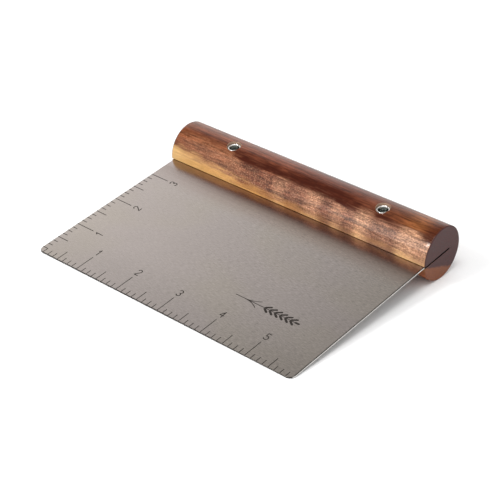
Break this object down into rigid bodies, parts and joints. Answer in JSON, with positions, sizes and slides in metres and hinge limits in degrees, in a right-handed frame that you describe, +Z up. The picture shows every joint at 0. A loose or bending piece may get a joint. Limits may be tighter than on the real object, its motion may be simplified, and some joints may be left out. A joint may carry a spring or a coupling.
{
  "type": "bench scraper",
  "caption": "Bench scraper with a flat steel blade, etched inch rulers and a round wooden handle riveted over the blade's back edge.",
  "frame": {"origin": "centre of the footprint, on the surface that the scraper rests on", "axes": "+X along the handle to the right, +Y from the blade's front edge towards the handle, +Z up"},
  "size_m": [0.1542, 0.118, 0.0266],
  "materials": {
    "acacia": "clear gloss lacquer",
    "blade_steel": "brushed along the blade's width",
    "rivet_steel": "polished"
  },
  "bodies": {
    "root": {"handle": "acacia", "blade": "blade_steel", "rivet_sleeve_left": "rivet_steel", "rivet_sleeve_right": "rivet_steel", "rivet_post_left": "rivet_steel", "rivet_post_right": "rivet_steel"}
  },
  "joints": []
}
